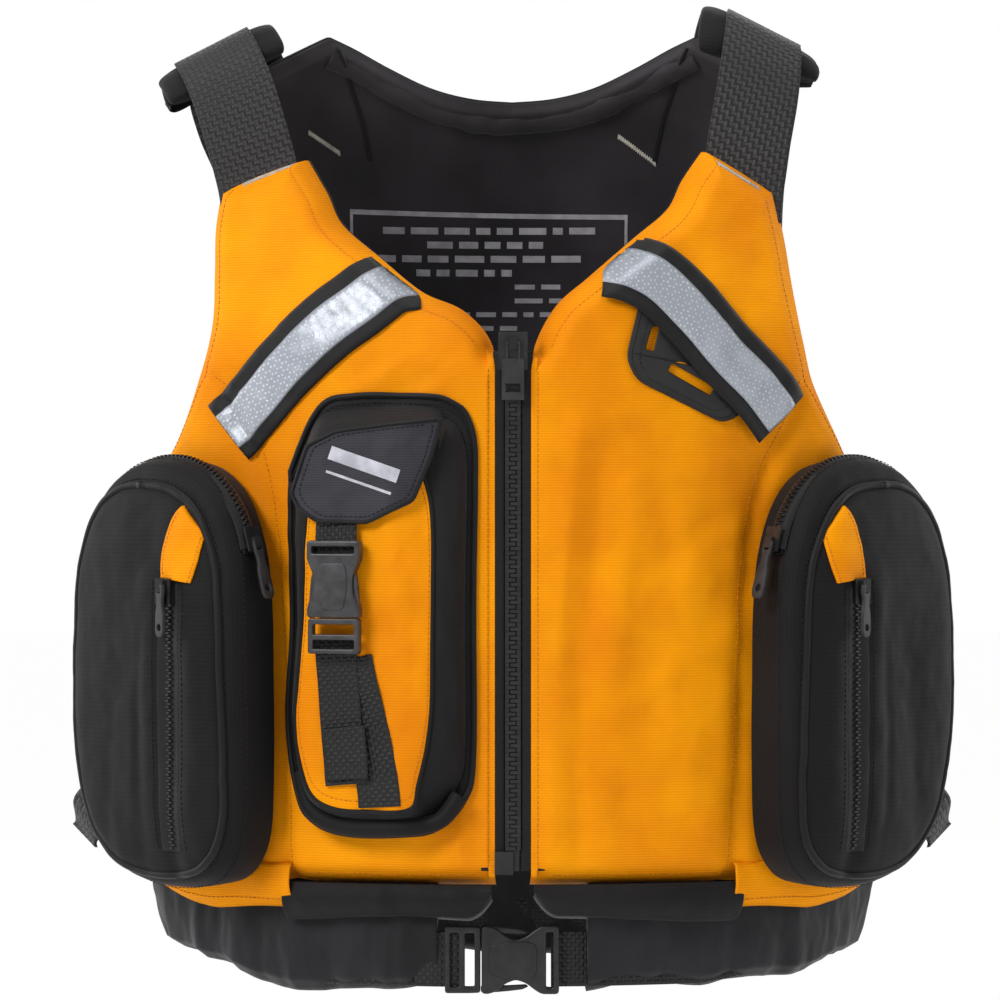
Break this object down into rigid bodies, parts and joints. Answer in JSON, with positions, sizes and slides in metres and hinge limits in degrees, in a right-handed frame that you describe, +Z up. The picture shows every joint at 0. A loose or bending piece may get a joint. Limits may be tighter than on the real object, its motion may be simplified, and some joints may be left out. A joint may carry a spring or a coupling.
{
  "type": "buoyancy vest",
  "caption": "Foam-filled buoyancy vest with a full-length front zip, shoulder webbing, reflective chest bands, zipped side pockets, a chest pocket and a waist belt.",
  "frame": {"origin": "midway between the undersides of the two shoulder pads, on the line across the wearer's shoulders", "axes": "+Z up, the front of the vest faces -Y, +X to the right as seen from the front"},
  "size_m": [0.5198, 0.3225, 0.5862],
  "materials": {
    "black_fabric": "woven, matt",
    "buckle_plastic": "satin",
    "charcoal_fabric": "ripstop",
    "foam": "closed-cell",
    "liner_fabric": "smooth",
    "orange_pocket": "woven, satin",
    "orange_shell": "woven, satin",
    "pull_plastic": "matt",
    "reflective": "honeycomb",
    "rubber": "matt",
    "slider_metal": "satin",
    "webbing": "basket weave",
    "zip_plastic": "moulded",
    "zip_tape": "herringbone"
  },
  "bodies": {
    "back": {"back_foam": "foam", "back_shell": "black_fabric", "back_liner": "liner_fabric", "shoulder_pads": "black_fabric", "rear_webbing": "webbing", "side_gussets": "black_fabric", "waistband_back": "charcoal_fabric", "belt_back": "webbing", "side_straps": "webbing", "side_adjusters": "buckle_plastic"},
    "front_right": {"belt_right": "webbing", "front_foam_right": "foam", "front_liner_right": "liner_fabric", "front_shell_right": "orange_shell", "front_webbing_right": "webbing", "hem_right": "black_fabric", "pocket_tab_right": "orange_shell", "pocket_zips_right": "zip_plastic", "reflective_tape_right": "reflective", "side_pocket_right": "black_fabric", "tape_edging_right": "black_fabric", "waistband_right": "charcoal_fabric", "zip_tape_right": "zip_tape", "zip_teeth_right": "zip_plastic", "zip_box": "zip_plastic", "chest_pocket_back": "black_fabric", "chest_pocket": "orange_pocket", "chest_flap": "charcoal_fabric", "flap_strap": "webbing", "chest_buckle_female": "buckle_plastic", "chest_strap": "webbing"},
    "front_left": {"belt_left": "webbing", "front_foam_left": "foam", "front_liner_left": "liner_fabric", "front_shell_left": "orange_shell", "front_webbing_left": "webbing", "hem_left": "black_fabric", "pocket_tab_left": "orange_shell", "pocket_zips_left": "zip_plastic", "reflective_tape_left": "reflective", "side_pocket_left": "black_fabric", "tape_edging_left": "black_fabric", "waistband_left": "charcoal_fabric", "zip_tape_left": "zip_tape", "zip_teeth_left": "zip_plastic", "lash_tab": "rubber", "waist_buckle_female": "buckle_plastic"},
    "main_slider": {"main_slider": "slider_metal"},
    "main_pull": {"main_pull": "pull_plastic"},
    "chest_buckle_male": {"chest_buckle_male": "buckle_plastic"},
    "waist_buckle_male": {"waist_buckle_male": "buckle_plastic"},
    "face_slider_right": {"face_slider_right": "slider_metal"},
    "face_pull_right": {"face_pull_right": "pull_plastic"},
    "arch_slider_right": {"arch_slider_right": "slider_metal"},
    "arch_pull_right": {"arch_pull_right": "pull_plastic"},
    "face_slider_left": {"face_slider_left": "slider_metal"},
    "face_pull_left": {"face_pull_left": "pull_plastic"},
    "arch_slider_left": {"arch_slider_left": "slider_metal"},
    "arch_pull_left": {"arch_pull_left": "pull_plastic"}
  },
  "joints": [
    {"name": "front_left_swing", "type": "hinge", "parent": "back", "child": "front_left", "pos_m": [0.2256, 0, -0.38], "axis": [0, 0, 1], "range_deg": [0, 28]},
    {"name": "front_right_swing", "type": "hinge", "parent": "back", "child": "front_right", "pos_m": [-0.2256, 0, -0.38], "axis": [0, 0, 1], "range_deg": [-28, 0]},
    {"name": "main_zip_slide", "type": "slide", "parent": "front_right", "child": "main_slider", "axis": [0, 0, -1], "range_m": [0, 0.279], "deforming": ["zip_teeth_left", "zip_teeth_right", "zip_tape_left", "zip_tape_right"]},
    {"name": "main_pull_hinge", "type": "hinge", "parent": "main_slider", "child": "main_pull", "pos_m": [0, -0.153, -0.1816], "axis": [-1, 0, 0], "range_deg": [0, 150]},
    {"name": "face_zip_slide_right", "type": "slide", "parent": "front_right", "child": "face_slider_right", "axis": [0, 0, -1], "range_m": [0, 0.13], "deforming": ["pocket_zips_right"]},
    {"name": "face_pull_hinge_right", "type": "hinge", "parent": "face_slider_right", "child": "face_pull_right", "pos_m": [-0.20552, -0.13491, -0.323], "axis": [-0.8161, 0.5779, 0], "range_deg": [0, 150]},
    {"name": "arch_zip_turn_right", "type": "hinge", "parent": "front_right", "child": "arch_slider_right", "pos_m": [-0.11, 0, -0.318], "axis": [-0.7071, -0.7071, 0], "range_deg": [0, 150]},
    {"name": "arch_pull_hinge_right", "type": "hinge", "parent": "arch_slider_right", "child": "arch_pull_right", "pos_m": [-0.14881, -0.14221, -0.2974], "axis": [-0.7071, -0.7071, 0], "range_deg": [0, 140]},
    {"name": "face_zip_slide_left", "type": "slide", "parent": "front_left", "child": "face_slider_left", "axis": [0, 0, -1], "range_m": [0, 0.13], "deforming": ["pocket_zips_left"]},
    {"name": "face_pull_hinge_left", "type": "hinge", "parent": "face_slider_left", "child": "face_pull_left", "pos_m": [0.20552, -0.13491, -0.323], "axis": [-0.8161, -0.5779, 0], "range_deg": [0, 150]},
    {"name": "arch_zip_turn_left", "type": "hinge", "parent": "front_left", "child": "arch_slider_left", "pos_m": [0.11, 0, -0.318], "axis": [0.7071, -0.7071, 0], "range_deg": [-150, 0]},
    {"name": "arch_pull_hinge_left", "type": "hinge", "parent": "arch_slider_left", "child": "arch_pull_left", "pos_m": [0.14881, -0.14221, -0.2974], "axis": [-0.7071, 0.7071, 0], "range_deg": [0, 140]},
    {"name": "chest_buckle_release", "type": "slide", "parent": "front_right", "child": "chest_buckle_male", "axis": [0, 0, -1], "range_m": [0, 0.03]},
    {"name": "waist_buckle_release", "type": "slide", "parent": "front_right", "child": "waist_buckle_male", "axis": [-1, 0, 0], "range_m": [0, 0.03], "deforming": ["belt_right", "waistband_right"]}
  ],
  "couplings": [
    {"joint": "front_right_swing", "follows": "front_left_swing", "ratio": -1},
    {"joint": "main_zip_slide", "follows": "front_left_swing", "m_per_rad": 0.57}
  ]
}
